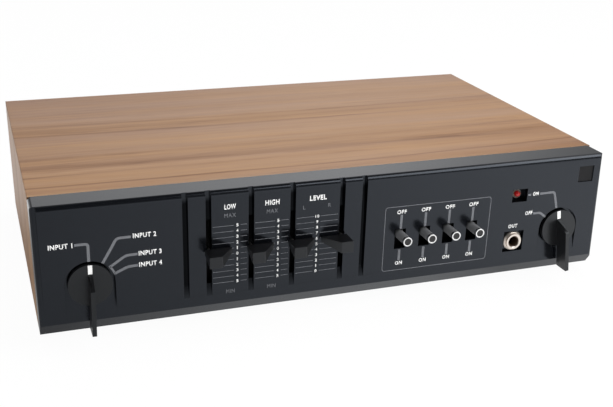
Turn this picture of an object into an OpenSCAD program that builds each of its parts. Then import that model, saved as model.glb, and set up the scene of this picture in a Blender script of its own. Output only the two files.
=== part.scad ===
// Stereo amplifier: a veneered sleeve over a steel chassis, closed in front by a moulded black fascia
// that carries four slide controls, four slide switches and two bladed rotary controls.
// X runs along the front from left to right, Y from front to back and Z up.
// The origin is on the table, under the middle of the part.

/* [Cabinet] */
// Width over the veneered sides and the fascia
cabinet_w = 360; // [350:1:400]
// Height of the cabinet above its feet
cabinet_h = 79.5; // [76:0.5:100]
// Depth of the veneered sleeve behind the fascia
sleeve_d = 210; // [185:1:240]
// Thickness of the veneered boards
board_t = 10; // [8:0.5:11]
// Width and height of the wooden battens along the lower edges
batten_w = 14; // [10:0.5:15]
// Depth of the open recess behind the rear panel
rear_inset = 8.5; // [8:0.5:12]

/* [Feet] */
// Height of a rubber foot
foot_h = 6; // [5:0.5:10]
// Radius of a rubber foot where it meets the chassis
foot_r = 9; // [7:0.5:12]
// Distance of a foot's centre from the cabinet's side
foot_side = 42; // [38:1:60]
// Distance of a foot's centre from the sleeve's front and back edges
foot_end = 28; // [24:1:50]

/* [Chassis] */
// Thickness of the steel sheet
sheet_t = 1.2; // [1:0.1:1.6]
// Height of the upturned edges of the tray
flange_h = 11; // [10.5:0.5:12]

/* [Fascia] */
// Depth of the moulded fascia from its tile fronts to its rear rim
fascia_d = 19.5; // [19:0.5:26]
// Wall thickness of the moulding
wall_t = 2.5; // [2:0.1:3]
// How far the tops of the raised tiles stand out of the base plane
tile_rise = 3; // [2:0.1:3.5]
// Height at which the wedge of the tiles runs out into the base plane
tile_foot = 12; // [12:0.5:18]
// Height of the front face's lower edge, where the chamfer starts
chamfer_top = 7.8; // [7.6:0.1:10.6]
// How far the chamfer goes down
chamfer_h = 7.4; // [5:0.1:7.5]
// How far the chamfer goes back
chamfer_d = 5.4; // [3:0.1:6.5]
// Width of the grooves between the tiles
groove_w = 3.3; // [2.6:0.1:4]
// Distance of the outer tiles from the fascia's ends
end_gap = 3.1; // [2:0.1:5]
// Radius of the fascia's upright front corners
end_r = 2; // [0.5:0.1:2.5]
// Side of the bare square recess in the upper right corner
badge_w = 10.9; // [6:0.1:12]
// Depth of the bare square recess
badge_d = 0.8; // [0.4:0.1:1.2]
// Distance of the square recess's centre from the right end
badge_right = 13.3; // [9.2:0.1:14]
// Distance of the square recess's centre below the cabinet's top
badge_drop = 12.6; // [11:0.1:16]

/* [Slide controls] */
// Distance of the slide controls' last groove from the right end
bank_right = 167.8; // [164:0.1:170]
// Distance between the tone slots, and from the treble slot to the first volume slot
tone_pitch = 25.2; // [24:0.1:26]
// Distance between the two volume slots
volume_pitch = 30.8; // [30:0.1:32]
// Distance from the first slot to the groove on its left
flank_left = 13.4; // [11:0.1:16]
// Distance from the last slot to the groove on its right
flank_right = 14.2; // [11:0.1:15]
// Height of the middle of the slider slots above the middle of the front
slider_up = 1.8; // [-1:0.1:2]
// Travel of a slide control
slider_travel = 37.5; // [30:0.5:38]
// How far above the middle the slide controls are set
slider_set = 1.5; // [0:0.1:6]
// How far a slider knob stands out in front of the tiles
slider_reach = 12.5; // [9:0.5:16]
// Length of a slider knob from its slot to its pointed end
knob_tip = 13.2; // [11:0.1:14]
// Length of a slider knob on the other side of its slot
knob_tail = 2.9; // [2.5:0.1:4]
// Length of a slider knob's flat front, from the slot
knob_front = 4.6; // [2:0.1:6]
// Height of a slider knob at its rear
knob_rear_h = 3; // [2.8:0.1:4]
// Height of a slider knob at its front
knob_front_h = 7; // [5:0.1:9]
// Thickness of a slider's steel tang
tang_t = 1.2; // [1:0.1:1.6]
// Height of a slider's steel tang
tang_h = 2.4; // [2:0.1:2.6]

/* [Rotary controls] */
// Height of the rotary controls' axes
knob_z = 30.9; // [29.5:0.1:31.5]
// Distance of the source control's axis from the left end
source_left = 29; // [27:0.1:34]
// Distance of the power control's axis from the right end
power_right = 29.5; // [27:0.1:31]
// Angle of the source control at its first position, clockwise from upright
source_set_angle = 1.5; // [0:0.5:8]
// Angle of the power control when it is on, clockwise from upright
power_on_angle = -6; // [-20:1:0]
// Radius of a rotary knob's disc
disc_r = 12.4; // [11:0.1:13.5]
// Thickness of a rotary knob's disc
disc_t = 2.4; // [1.8:0.1:2.8]
// Width of the gap round a disc in its recess
disc_gap = 1.6; // [0.8:0.1:2]
// Thickness of a knob's blade
blade_t = 2.5; // [2.2:0.1:4]
// How far a blade stands out in front of the tiles
blade_reach = 10.3; // [8:0.1:11.5]
// Length of a blade above the axis, at the disc
blade_up = 6.5; // [5:0.1:7]
// Length of a blade above the axis, at its front edge
blade_shoulder = 0.3; // [0:0.1:4]
// Length of a blade below the axis
blade_down = 26.8; // [20:0.1:27.5]
// Width of the white pointer mark
pointer_w = 2.4; // [1:0.1:2.5]
// Length of the white pointer mark
pointer_l = 5.4; // [4:0.1:5.4]
// Radius of the switch shafts
shaft_r = 3; // [2.5:0.05:3.2]

/* [Slide switches] */
// Distance of the last slide switch from the right end
switch_right = 93.6; // [90:0.1:95]
// Distance between the slide switches
switch_pitch = 16.4; // [14.5:0.1:16.6]
// Height of the middle of the switch slots
switch_z = 36.1; // [34.5:0.05:38.5]
// Travel of a switch lever
switch_travel = 5.3; // [4:0.1:6]
// Radius of a switch lever
lever_r = 2.9; // [2.5:0.05:3.1]
// How far a switch lever stands out in front of the tiles
lever_reach = 10.2; // [8:0.1:11.5]
// Length of the bright ring on a lever's end
ring_l = 2; // [1:0.1:3]
// Wall of the bright ring
ring_t = 0.8; // [0.6:0.05:1.1]

/* [Lamp and headphone jack] */
// Distance of the lamp from the right end
lamp_right = 60.8; // [59:0.1:63]
// Height of the lamp
lamp_z = 56.5; // [55:0.1:58]
// Width of the lamp's recess
lamp_pocket_w = 10.8; // [9:0.1:12]
// Height of the lamp's recess
lamp_pocket_h = 8.8; // [8:0.1:10]
// Radius of the lamp
lamp_r = 1.9; // [1.5:0.05:2.6]
// Distance of the headphone jack from the right end
jack_right = 62; // [61:0.1:63]
// Height of the headphone jack
jack_z = 24.7; // [24:0.1:26]
// Side of the headphone jack's square recess
jack_pocket_w = 14.3; // [13.8:0.1:15.5]
// Radius of the hole that takes a quarter inch plug
jack_bore_r = 3.2; // [3.2:0.01:3.3]
// Radius of the jack's threaded bush
bush_r = 5.2; // [4.6:0.05:5.4]
// Radius of the jack's round nut
jack_nut_r = 6.6; // [6:0.05:6.8]

/* [Inside] */
// Width of the transformer's iron core
core_w = 66; // [60:1:70]
// Height of the transformer's iron core
core_h = 55; // [45:1:60]
// Thickness of the transformer's stack of laminations
core_t = 32; // [25:1:40]
// Gap between the transformer's clamp and the batten beside it
core_gap = 4; // [1:0.5:8]
// Width of the amplifier board
board_w = 150; // [120:1:155]
// Depth of the amplifier board
board_d = 110; // [90:1:120]
// Height of the amplifier board above the tray
board_z = 11; // [8:0.5:14]
// Distance of the amplifier board from the left end
board_left = 32; // [30:1:36]
// Radius of the smoothing capacitor's can
can_r = 16; // [12:0.5:16.5]
// Height of the smoothing capacitor's can
can_h = 52; // [40:1:58]

/* [Hidden] */
$fn = 64;
// Clearance of a seated piece, and of a screw in a hole it passes through
seat = 0.05;
screw_play = 0.2;
// Clearance of a turning shaft, and of a piece that slides or turns near another
shaft_play = 0.05;
slide_play = 0.4;
eps = 0.5;

// Levels and planes
bottom = foot_h;
top = foot_h + cabinet_h;
front_reach = max(slider_reach, blade_reach, lever_reach);
front = (front_reach - fascia_d - sleeve_d) / 2;
base = front + tile_rise;
rim = front + fascia_d;
back = rim + sleeve_d;
rear = back - rear_inset;
floor_z = bottom + sheet_t;
left_end = -cabinet_w / 2;
right_end = cabinet_w / 2;
inside_w = cabinet_w - 2 * board_t;

// Tiles: the wedge is tangent to the round along its top edge
tile_r = tile_rise;
tile_round_z = cabinet_h - tile_r;
tile_lean = asin(tile_r / (tile_round_z - tile_foot));
// Plane of a tile's face at a height above the cabinet's bottom
function face_y(h) = base - (h - tile_foot) * tan(tile_lean);

// Slots of the slide controls and the grooves between the tiles
bank_end = right_end - bank_right;
slot_x = [
    bank_end - flank_right - volume_pitch - 2 * tone_pitch,
    bank_end - flank_right - volume_pitch - tone_pitch,
    bank_end - flank_right - volume_pitch,
    bank_end - flank_right
];
groove_x = concat([slot_x[0] - flank_left], slot_x, [bank_end]);
tile_from = concat([left_end + end_gap], [for (x = groove_x) x + groove_w / 2]);
tile_to = concat([for (x = groove_x) x - groove_w / 2], [right_end - end_gap]);
// A groove keeps its depth below the face, in the base plane too, and runs out above the tiles' foot
groove_depth = 0.8 * wall_t;
groove_foot = tile_foot + 1.5;
groove_runout = 6;
groove_level = tile_foot + groove_depth / tan(tile_lean);
slider_z = cabinet_h / 2 + slider_up;
slot_h = slider_travel + tang_h + 2 * slide_play;

// Rotary controls
source_x = left_end + source_left;
power_x = right_end - power_right;
recess_r = disc_r + disc_gap;
recess_in = wall_t / 2;
disc_lift = 0.3;
disc_back = base - disc_lift;
disc_face = disc_back - disc_t;
blade_root = 0.4;
pointer_t = 0.4;
pointer_end = 0.3;
hub_r = 5.5;
hub_hole_r = 6.2;
hub_l = 4.8;

// Slide switches
switch_x = [for (i = [3:-1:0]) right_end - switch_right - i * switch_pitch];
lever_side_gap = 0.8;
lever_end_gap = 1.1;
switch_slot_w = 2 * (lever_r + lever_side_gap);
switch_slot_h = 2 * (lever_r + lever_end_gap) + switch_travel;
lever_tang_w = 2.4;
lever_tang_h = 3.6;
lever_step = 5;
nose_in = 0.4;

// Lamp and headphone jack
lamp_x = right_end - lamp_right;
jack_x = right_end - jack_right;
lamp_floor_in = 6.5;
jack_floor_in = 5.3;
lamp_floor = front + lamp_floor_in;
jack_floor = front + jack_floor_in;
pocket_back = 2.2;
jack_nut_t = 3;
bush_nose = 1.2;
jack_body_w = 16;
jack_body_l = 30;
jack_bore_l = 29;
jack_mouth = 0.8;
nut_chamfer = 0.9;
lamp_collar_t = 1.1;
lamp_collar_l = 1.3;

// Control bracket and what it carries
bracket_in = 14;
bracket = front + bracket_in;
bracket_back = bracket + sheet_t;
bracket_low = 11;
bracket_top = 8;
bracket_end = 6;
boss_r = 4;
boss_low = 16;
boss_drop = 12;
boss_bank = 4.4;
boss_right = 40;
boss_x = [groove_x[0] + boss_bank, bank_end - boss_bank, right_end - boss_right];
rim_boss_r = 3.2;
rim_boss_z = 6.6;
rim_boss_l = 10;
rim_boss_end = 70;
rim_boss_x = [left_end + rim_boss_end, 0, right_end - rim_boss_end];
pot_w = 9;
pot_d = 10;
pot_end = 6;
pot_floor = 2;
pot_slot_w = tang_t + 2 * slide_play;
switch_body_w = 12;
switch_body_d = 9;
switch_body_end = 6;
rotor_r = 15;
rotor_d = 14;
rotor_floor = 4;
rotor_tail_r = 5;
rotor_tail_l = 4;
neck_r = 4.75;
neck_l = 6;
neck_nut_r = 7;
neck_nut_t = 2.2;

// Screws: one pattern for sheet and plastic, a longer one for wood and one for the feet
screw_r = 1.45;
screw_l = 8;
screw_head_r = 2.8;
screw_head_t = 1.8;
wood_screw_r = 1.8;
wood_screw_l = 12;
wood_screw_head_r = 3.8;
foot_screw_r = 1.75;
foot_screw_l = 7;
foot_screw_head_r = 3.4;
foot_screw_head_t = 2;
foot_recess = 3;
foot_taper = 1;
wood_screw_end = 36;
rear_screw_end = 40;
rear_screw_mid = 45;
rear_screw_x = [
    -inside_w / 2 + rear_screw_end, -rear_screw_mid, rear_screw_mid, inside_w / 2 - rear_screw_end
];

// Rear panel
panel_top_gap = 0.4;
panel_z = bottom + (cabinet_h - board_t) / 2;
strip_t = 1.6;
phono_r = 4.15;
phono_l = 6;
phono_pitch_x = 22;
phono_pitch_z = 18;
phono_columns = 4;
phono_left = 40;
strip_margin = 10;
speaker_right = 112;
speaker_pitch = 30;
fuse_right = 66;
grommet_right = 34;
vent_gap = 6;
vent_count = 6;
vent_pitch = 7;
vent_w = 3;
vent_h = 26;
grommet_bore_r = 3.6;
grommet_groove_r = 5.9;
grommet_flange_r = 8;
grommet_flange_t = 1.5;
fuse_r = 6.2;
fuse_flange_r = 8;
fuse_flange_t = 1.8;
fuse_cap_r = 6.5;
fuse_cap_l = 4;
fuse_body_l = 26;
speaker_r = 5;
speaker_w = 24;
speaker_h = 13;
speaker_t = 1.5;
speaker_face_l = 1;
speaker_body_l = 8;
speaker_pin_r = 1.2;
speaker_pin_l = 7;
speaker_pin_z = 2.4;
speaker_blade_w = 4.8;
speaker_blade_t = 1.2;
speaker_blade_z = -2;
phono_x = left_end + phono_left;
speaker_x = [right_end - speaker_right - speaker_pitch, right_end - speaker_right];
fuse_x = right_end - fuse_right;
grommet_x = right_end - grommet_right;
vent_x = phono_x + (phono_columns - 1) * phono_pitch_x + strip_margin + vent_gap;

// Transformer, capacitor and board
core_rear = 78;
core_y = rear - core_rear;
limb_w = core_w / 3;
yoke_h = core_w / 6;
coil_bulge = 10;
clamp_foot = 11;
core_x = inside_w / 2 - batten_w - core_gap - clamp_foot - sheet_t - core_w / 2;
clamp_side = 2;
clamp_w = core_t - 2 * clamp_side;
clamp_screw = clamp_foot / 2;
can_gap = 6;
can_x = core_x;
can_y = core_y - core_t / 2 - coil_bulge - can_gap - can_r;
clip_t = 1;
clip_h = 14;
board_rear = 16;
board_y = rear - board_rear - board_d;
board_thick = 1.6;
standoff_r = 3;
standoff_in = 14;
sink_t = 3;
sink_h = 44;
sink_in = 10;
fin_count = 10;
fin_l = 6;
fin_t = 2;
transistor_count = 4;
transistor_w = 10;
transistor_h = 15;
transistor_t = 4.5;
transistor_z = 8;
small_can_row = 6;
small_can_in = 20;
small_can_pitch = 30;
small_can_r = 4;
small_can_h = 14;
large_can_r = 5;
large_can_h = 20;

// A bar along Y between two planes, at the child's origin in X and Z
module rod(y0, y1, r) {
    translate([0, y0, 0])
        rotate([-90, 0, 0])
            cylinder(h = y1 - y0, r = r);
}

// A box given by its lowest and highest corners
module block(low, high) {
    translate(low)
        cube(high - low);
}

// A profile in Y and Z, run along X
module along_x(x0, x1) {
    translate([x0, 0, 0])
        rotate([90, 0, 90])
            linear_extrude(x1 - x0)
                children();
}

// A profile in X and Z, run along Y
module along_y(y0, y1) {
    translate([0, y1, 0])
        rotate([90, 0, 0])
            linear_extrude(y1 - y0)
                children();
}

// A slot with round ends, upright in X and Z
module upright_slot(y0, y1, w, h) {
    block([-w / 2, y0, -(h - w) / 2], [w / 2, y1, (h - w) / 2]);
    for (side = [-1, 1])
        translate([0, 0, side * (h - w) / 2])
            rod(y0, y1, w / 2);
}

// A pan head screw: its head's seat is at the origin and its shank points along +Z
module screw(r, l, head_r, head_t) {
    cylinder(h = l, r = r);
    translate([0, 0, -head_t])
        cylinder(h = head_t, r = head_r);
}

module at_corners(dx, dy) {
    for (x = [-dx, dx], y = [-dy, dy])
        translate([x, y, 0])
            children();
}

// Veneered sleeve
module cabinet_top() {
    color("#a2785a")
        along_y(rim, back)
            polygon([
                [left_end, top], [right_end, top],
                [right_end - board_t, top - board_t], [left_end + board_t, top - board_t]
            ]);
}

module cabinet_side() {
    along_y(rim, back)
        polygon([
            [left_end, bottom], [left_end, top],
            [left_end + board_t, top - board_t], [left_end + board_t, bottom]
        ]);
}

module cabinet_side_left() {
    color("#a98062") cabinet_side();
}

module cabinet_side_right() {
    color("#a98062") mirror([1, 0, 0]) cabinet_side();
}

module at_wood_screws() {
    x = inside_w / 2 - batten_w / 2;
    y = (rim + rear) / 2;
    translate([0, y, bottom])
        at_corners(x, (rear - rim) / 2 - wood_screw_end)
            children();
}

module side_battens() {
    color("#c9a878")
        difference() {
            for (side = [0, 1])
                mirror([side, 0, 0])
                    block(
                        [-inside_w / 2, rim + 2 * sheet_t, floor_z],
                        [-inside_w / 2 + batten_w, rear - 2 * sheet_t, floor_z + batten_w]
                    );
            at_wood_screws()
                cylinder(h = wood_screw_l + eps, r = wood_screw_r + seat);
        }
}

// Feet and chassis
module at_feet() {
    y = (rim + back) / 2;
    translate([0, y, 0])
        at_corners(cabinet_w / 2 - foot_side, sleeve_d / 2 - foot_end)
            children();
}

module feet() {
    color("#1c1c1c")
        at_feet()
            rotate_extrude()
                polygon([
                    [foot_screw_head_r + screw_play, 0], [foot_r - foot_taper, 0], [foot_r, foot_h],
                    [foot_screw_r + seat, foot_h], [foot_screw_r + seat, foot_recess],
                    [foot_screw_head_r + screw_play, foot_recess]
                ]);
}

module foot_screws() {
    color("silver")
        at_feet()
            translate([0, 0, foot_recess])
                screw(foot_screw_r, foot_screw_l, foot_screw_head_r, foot_screw_head_t);
}

module base_screws() {
    color("silver")
        at_wood_screws()
            screw(wood_screw_r, wood_screw_l, wood_screw_head_r, screw_head_t);
}

module at_clamp_screws() {
    for (side = [-1, 1])
        translate([core_x + side * (core_w / 2 + sheet_t + clamp_screw), core_y, bottom])
            children();
}

module chassis_tray() {
    color("#b9bcbf")
        difference() {
            translate([-inside_w / 2 + screw_play, 0, 0])
                along_x(0, inside_w - 2 * screw_play)
                    polygon([
                        [rim, bottom], [rear, bottom], [rear, bottom + flange_h],
                        [rear - sheet_t, bottom + flange_h], [rear - sheet_t, floor_z],
                        [rim + sheet_t, floor_z], [rim + sheet_t, bottom + flange_h],
                        [rim, bottom + flange_h]
                    ]);
            at_wood_screws()
                translate([0, 0, -eps])
                    cylinder(h = sheet_t + 2 * eps, r = wood_screw_r + screw_play);
            at_feet()
                translate([0, 0, bottom - eps])
                    cylinder(h = sheet_t + 2 * eps, r = foot_screw_r + seat);
            at_clamp_screws()
                translate([0, 0, -eps])
                    cylinder(h = sheet_t + 2 * eps, r = screw_r + seat);
            for (x = rim_boss_x)
                translate([x, 0, bottom + rim_boss_z])
                    rod(rim - eps, rim + sheet_t + eps, screw_r + screw_play);
            for (x = rear_screw_x)
                translate([x, 0, bottom + rim_boss_z])
                    rod(rear - sheet_t - eps, rear + eps, screw_r + seat);
        }
}

module panel_screws() {
    color("silver") {
        for (x = boss_x, z = [bottom + boss_low, top - boss_drop])
            translate([x, bracket_back, z])
                rotate([90, 0, 0])
                    screw(screw_r, screw_l, screw_head_r, screw_head_t);
        for (x = rim_boss_x)
            translate([x, rim + sheet_t, bottom + rim_boss_z])
                rotate([90, 0, 0])
                    screw(screw_r, screw_l, screw_head_r, screw_head_t);
        for (x = rear_screw_x)
            translate([x, rear + sheet_t, bottom + rim_boss_z])
                rotate([90, 0, 0])
                    screw(screw_r, screw_l, screw_head_r, screw_head_t);
        at_clamp_screws()
            screw(screw_r, screw_l, screw_head_r, screw_head_t);
    }
}

// Rear panel and its sockets
module at_phonos() {
    for (i = [0:phono_columns - 1], j = [-0.5, 0.5])
        translate([phono_x + i * phono_pitch_x, 0, panel_z + j * phono_pitch_z])
            children();
}

module rear_panel() {
    color("#8d9092")
        difference() {
            block(
                [-inside_w / 2 + screw_play, rear, bottom],
                [inside_w / 2 - screw_play, rear + sheet_t, top - board_t - panel_top_gap]
            );
            at_phonos()
                rod(rear - eps, rear + sheet_t + eps, phono_r + slide_play);
            for (x = speaker_x)
                translate([x, 0, panel_z])
                    rod(rear - eps, rear + sheet_t + eps, speaker_r + seat);
            translate([fuse_x, 0, panel_z])
                rod(rear - eps, rear + sheet_t + eps, fuse_r + seat);
            translate([grommet_x, 0, panel_z])
                rod(rear - eps, rear + sheet_t + eps, grommet_groove_r + seat);
            for (i = [0:vent_count - 1])
                translate([vent_x + i * vent_pitch, 0, panel_z])
                    upright_slot(rear - eps, rear + sheet_t + eps, vent_w, vent_h);
            for (x = rear_screw_x)
                translate([x, 0, bottom + rim_boss_z])
                    rod(rear - eps, rear + sheet_t + eps, screw_r + screw_play);
        }
}

module mains_grommet() {
    in_l = grommet_flange_t + seat;
    color("#1c1c1c")
        translate([grommet_x, rear - in_l, panel_z])
            rotate([-90, 0, 0])
                rotate_extrude()
                    polygon([
                        [grommet_bore_r, 0], [grommet_flange_r, 0], [grommet_flange_r, grommet_flange_t],
                        [grommet_groove_r, grommet_flange_t],
                        [grommet_groove_r, in_l + sheet_t + seat],
                        [grommet_flange_r, in_l + sheet_t + seat],
                        [grommet_flange_r, 2 * in_l + sheet_t], [grommet_bore_r, 2 * in_l + sheet_t]
                    ]);
}

module fuse_holder() {
    skin = rear + sheet_t;
    color("#202020")
        translate([fuse_x, 0, panel_z])
            difference() {
                union() {
                    rod(rear - fuse_body_l, skin, fuse_r);
                    rod(skin, skin + fuse_flange_t, fuse_flange_r);
                    rod(skin, skin + fuse_flange_t + fuse_cap_l, fuse_cap_r);
                }
                block(
                    [-fuse_cap_r, skin + fuse_flange_t + fuse_cap_l - 1, -0.6],
                    [fuse_cap_r, skin + fuse_flange_t + fuse_cap_l + eps, 0.6]
                );
            }
}

module socket_strip() {
    color("#7a5a34")
        difference() {
            block(
                [phono_x - strip_margin, rear - strip_t, panel_z - phono_pitch_z / 2 - strip_margin],
                [
                    phono_x + (phono_columns - 1) * phono_pitch_x + strip_margin, rear,
                    panel_z + phono_pitch_z / 2 + strip_margin
                ]
            );
            at_phonos()
                rod(rear - strip_t - eps, rear + eps, phono_r + seat);
        }
}

module input_sockets() {
    collar_r = 6;
    collar_t = 1.5;
    tail_r = 1.2;
    tail_l = 5;
    pin_r = 1.6;
    pin_l = 7;
    tip = rear + sheet_t + phono_l;
    seat_y = rear - strip_t;
    color("#c8c8c8")
        at_phonos()
            difference() {
                union() {
                    rod(seat_y, tip, phono_r);
                    rod(seat_y - collar_t, seat_y, collar_r);
                    rod(seat_y - collar_t - tail_l, seat_y, tail_r);
                }
                rod(tip - pin_l, tip + eps, pin_r);
            }
}

module speaker_sockets() {
    skin = rear + sheet_t;
    face = skin + speaker_t + speaker_face_l;
    deep = face - speaker_pin_l;
    color("#202020")
        for (x = speaker_x)
            translate([x, 0, panel_z])
                difference() {
                    union() {
                        rod(rear - speaker_body_l, face, speaker_r);
                        block(
                            [-speaker_w / 2, skin, -speaker_h / 2],
                            [speaker_w / 2, skin + speaker_t, speaker_h / 2]
                        );
                    }
                    translate([0, 0, speaker_pin_z])
                        rod(deep, face + eps, speaker_pin_r);
                    translate([0, 0, speaker_blade_z])
                        block(
                            [-speaker_blade_w / 2, deep, -speaker_blade_t / 2],
                            [speaker_blade_w / 2, face + eps, speaker_blade_t / 2]
                        );
                }
}

// Fascia moulding
module fascia_shell() {
    low = bottom + chamfer_top - chamfer_h;
    ease = wall_t * 0.45;
    difference() {
        intersection() {
            along_x(left_end, right_end)
                polygon([
                    [base, bottom + chamfer_top], [base, top], [rim, top], [rim, low],
                    [base + chamfer_d, low]
                ]);
            translate([0, 0, bottom])
                linear_extrude(cabinet_h)
                    union() {
                        translate([left_end, base + end_r])
                            square([cabinet_w, fascia_d]);
                        translate([left_end + end_r, base])
                            square([cabinet_w - 2 * end_r, fascia_d]);
                        for (x = [left_end + end_r, right_end - end_r])
                            translate([x, base + end_r])
                                circle(end_r);
                    }
            union() {
                block([left_end, base, low], [right_end, rim, top - end_r]);
                block([left_end + end_r, base, low], [right_end - end_r, rim, top]);
                for (x = [left_end + end_r, right_end - end_r])
                    translate([x, 0, top - end_r])
                        rod(base, rim, end_r);
            }
        }
        along_x(left_end + wall_t, right_end - wall_t)
            polygon([
                [base + wall_t, bottom + chamfer_top + ease], [base + wall_t, top - wall_t],
                [rim + eps, top - wall_t], [rim + eps, low + wall_t],
                [base + chamfer_d + ease, low + wall_t]
            ]);
    }
}

// One raised tile: a wedge that runs out at the bottom, with a round along its top edge
module tile(x0, x1) {
    along_x(x0, x1)
        union() {
            polygon([
                [base, bottom + tile_foot],
                [base - tile_r * cos(tile_lean), bottom + tile_round_z - tile_r * sin(tile_lean)],
                [base, bottom + tile_round_z]
            ]);
            intersection() {
                translate([base, bottom + tile_round_z])
                    circle(tile_r);
                translate([base - 2 * tile_r, bottom + tile_round_z - tile_r * sin(tile_lean)])
                    square([2 * tile_r + eps, 2 * tile_r]);
            }
            translate([base - eps / 2, bottom + tile_foot + tile_r])
                square([eps, tile_round_z - tile_foot - tile_r]);
        }
}

// The lower stretch of a groove, where it is cut into the base plane
module groove_cut(x) {
    full = groove_foot + groove_runout;
    along_x(x - groove_w / 2, x + groove_w / 2)
        polygon([
            [face_y(groove_foot), bottom + groove_foot],
            [face_y(full) + groove_depth, bottom + full],
            [face_y(groove_level) + groove_depth, bottom + groove_level],
            [front - eps, bottom + groove_level], [front - eps, bottom + groove_foot]
        ]);
}

// The bare square recess: its floor lies parallel to the tile's face
module badge_recess() {
    x = right_end - badge_right;
    low = cabinet_h - badge_drop - badge_w / 2;
    high = cabinet_h - badge_drop + badge_w / 2;
    along_x(x - badge_w / 2, x + badge_w / 2)
        polygon([
            [face_y(low) + badge_d, bottom + low], [face_y(high) + badge_d, bottom + high],
            [front - eps, bottom + high], [front - eps, bottom + low]
        ]);
}

// The arched recess round a rotary knob: it is deepest above the axis and runs out below it
module knob_recess() {
    foot = groove_foot - knob_z;
    intersection() {
        rod(front - 1, base + recess_in, recess_r);
        block([-recess_r, front - 1, 0], [recess_r, base + recess_in, recess_r]);
    }
    along_x(-recess_r, recess_r)
        polygon([
            [face_y(groove_foot), foot], [base + recess_in, 0], [front - 1, 0], [front - 1, foot]
        ]);
    rod(base - eps, base + wall_t + eps, hub_hole_r);
}

// A walled pocket behind the face, and the hollow that is cut in it
module pocket_wall(w, h, floor_y) {
    skirt = 1.5;
    block([-w / 2 - skirt, base + eps, -h / 2 - skirt], [w / 2 + skirt, floor_y + pocket_back, h / 2 + skirt]);
}

module pocket_hollow(w, h, floor_y) {
    block([-w / 2, front - 1, -h / 2], [w / 2, floor_y, h / 2]);
}

module fascia() {
    lamp = [lamp_x, 0, bottom + lamp_z];
    jack = [jack_x, 0, bottom + jack_z];
    lip_z = chamfer_top - chamfer_h + wall_t / 2;
    color("#2b2c30")
        difference() {
            union() {
                fascia_shell();
                for (i = [0:len(tile_from) - 1])
                    tile(tile_from[i], tile_to[i]);
                for (x = boss_x, z = [bottom + boss_low, top - boss_drop])
                    translate([x, 0, z])
                        rod(base + eps, bracket, boss_r);
                for (x = rim_boss_x)
                    translate([x, 0, bottom + rim_boss_z]) {
                        rod(rim - rim_boss_l, rim, rim_boss_r);
                        block(
                            [-rim_boss_r, rim - rim_boss_l, lip_z - rim_boss_z],
                            [rim_boss_r, rim, 0]
                        );
                    }
                translate(lamp)
                    pocket_wall(lamp_pocket_w, lamp_pocket_h, lamp_floor);
                translate(jack)
                    pocket_wall(jack_pocket_w, jack_pocket_w, jack_floor);
            }
            for (x = [source_x, power_x])
                translate([x, 0, bottom + knob_z])
                    knob_recess();
            for (x = slot_x)
                translate([x, 0, bottom + slider_z])
                    block(
                        [-groove_w / 2, front - 1, -slot_h / 2],
                        [groove_w / 2, base + wall_t + eps, slot_h / 2]
                    );
            for (x = switch_x)
                translate([x, 0, bottom + switch_z])
                    block(
                        [-switch_slot_w / 2, front - 1, -switch_slot_h / 2],
                        [switch_slot_w / 2, base + wall_t + eps, switch_slot_h / 2]
                    );
            translate(lamp) {
                pocket_hollow(lamp_pocket_w, lamp_pocket_h, lamp_floor);
                rod(lamp_floor - eps, lamp_floor + pocket_back + eps, lamp_r + seat);
            }
            translate(jack) {
                pocket_hollow(jack_pocket_w, jack_pocket_w, jack_floor);
                rod(jack_floor - eps, jack_floor + pocket_back + eps, bush_r + seat);
            }
            badge_recess();
            for (x = groove_x)
                groove_cut(x);
            for (x = boss_x, z = [bottom + boss_low, top - boss_drop])
                translate([x, 0, z])
                    rod(bracket_back - screw_l - eps, bracket + eps, screw_r + seat);
            for (x = rim_boss_x)
                translate([x, 0, bottom + rim_boss_z])
                    rod(rim + sheet_t - screw_l - eps, rim + eps, screw_r + seat);
        }
}

// Bracket behind the fascia, with the controls that it carries
module control_bracket() {
    notch = jack_body_w / 2 + 1.5;
    color("#b9bcbf")
        difference() {
            block(
                [left_end + bracket_end, bracket, bottom + bracket_low],
                [right_end - bracket_end, bracket_back, top - bracket_top]
            );
            for (x = boss_x, z = [bottom + boss_low, top - boss_drop])
                translate([x, 0, z])
                    rod(bracket - eps, bracket_back + eps, screw_r + screw_play);
            for (x = [source_x, power_x])
                translate([x, 0, bottom + knob_z])
                    rod(bracket - eps, bracket_back + eps, neck_r + seat);
            for (x = slot_x)
                translate([x, 0, bottom + slider_z])
                    block(
                        [-pot_slot_w / 2, bracket - eps, -slot_h / 2],
                        [pot_slot_w / 2, bracket_back + eps, slot_h / 2]
                    );
            for (x = switch_x)
                translate([x, 0, bottom + switch_z])
                    lever_guide(bracket - eps, bracket_back + eps);
            translate([jack_x, 0, bottom + jack_z])
                block([-notch, bracket - eps, -notch], [notch, bracket_back + eps, notch]);
        }
}

module lever_guide(y0, y1) {
    w = lever_tang_w / 2 + slide_play;
    h = (lever_tang_h + switch_travel) / 2 + slide_play;
    block([-w, y0, -h], [w, y1, h]);
}

module slide_pots() {
    color("#9aa0a4")
        for (x = slot_x)
            translate([x, 0, bottom + slider_z])
                difference() {
                    block(
                        [-pot_w / 2, bracket_back, -slider_travel / 2 - pot_end],
                        [pot_w / 2, bracket_back + pot_d, slider_travel / 2 + pot_end]
                    );
                    block(
                        [-pot_slot_w / 2, bracket_back - eps, -slot_h / 2],
                        [pot_slot_w / 2, bracket_back + pot_d - pot_floor, slot_h / 2]
                    );
                }
}

module slide_switches() {
    h = lever_tang_h / 2 + switch_travel / 2 + switch_body_end;
    color("#3a3a3c")
        for (x = switch_x)
            translate([x, 0, bottom + switch_z])
                difference() {
                    block(
                        [-switch_body_w / 2, bracket_back, -h],
                        [switch_body_w / 2, bracket_back + switch_body_d, h]
                    );
                    lever_guide(bracket_back - eps, bracket_back + switch_body_d - pot_floor);
                }
}

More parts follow.
